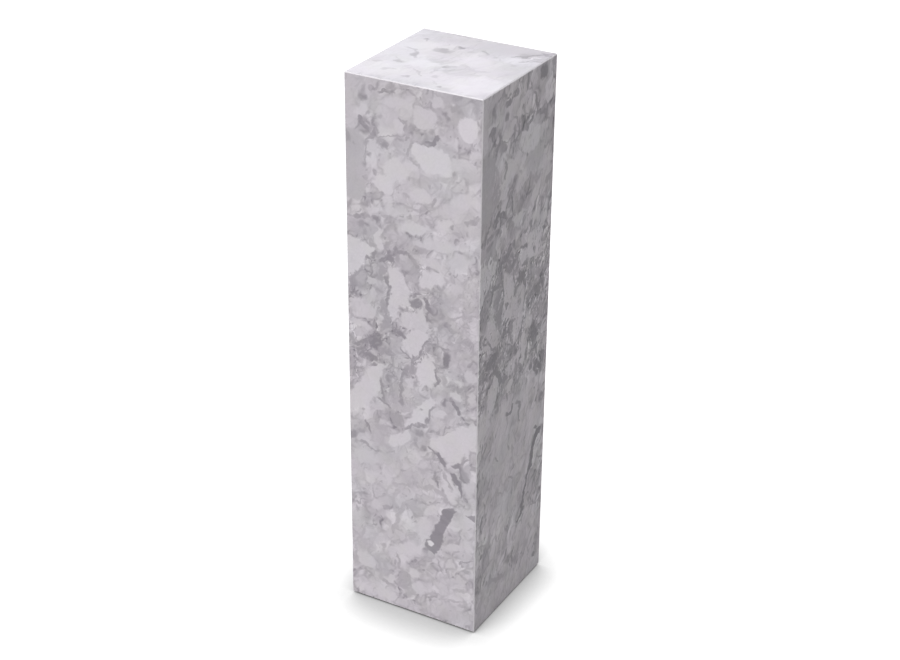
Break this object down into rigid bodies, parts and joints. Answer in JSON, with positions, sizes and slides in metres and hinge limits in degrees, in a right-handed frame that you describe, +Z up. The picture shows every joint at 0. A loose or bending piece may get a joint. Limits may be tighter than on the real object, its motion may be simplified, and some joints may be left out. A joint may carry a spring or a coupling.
{
  "type": "pedestal column stand",
  "caption": "Tall square marble column with mitred edges on a hidden plywood carcass and felt glides, for standing a vase, plant or bust on.",
  "frame": {"origin": "on the floor under the centre of the square footprint", "axes": "+Z up along the column, -Y out of the front slab, +X out of the right slab"},
  "size_m": [0.252, 0.252, 1],
  "materials": {
    "marble": "satin",
    "seam_epoxy": "satin",
    "adhesive": "matte",
    "plywood": "matte",
    "staple_wire": "satin",
    "felt": "matte"
  },
  "bodies": {
    "root": {"slab_front": "marble", "slab_right": "marble", "slab_back": "marble", "slab_left": "marble", "slab_top": "marble", "mitre_epoxy": "seam_epoxy", "bedding_adhesive": "adhesive", "carcass_front": "plywood", "carcass_right": "plywood", "carcass_back": "plywood", "carcass_left": "plywood", "base_board": "plywood", "cap_board": "plywood", "diaphragm_lower": "plywood", "diaphragm_upper": "plywood", "corner_staples": "staple_wire", "base_staples": "staple_wire", "diaphragm_staples": "staple_wire", "cap_staples": "staple_wire", "felt_glide_front_left": "felt", "felt_glide_front_right": "felt", "felt_glide_back_left": "felt", "felt_glide_back_right": "felt"}
  },
  "joints": []
}
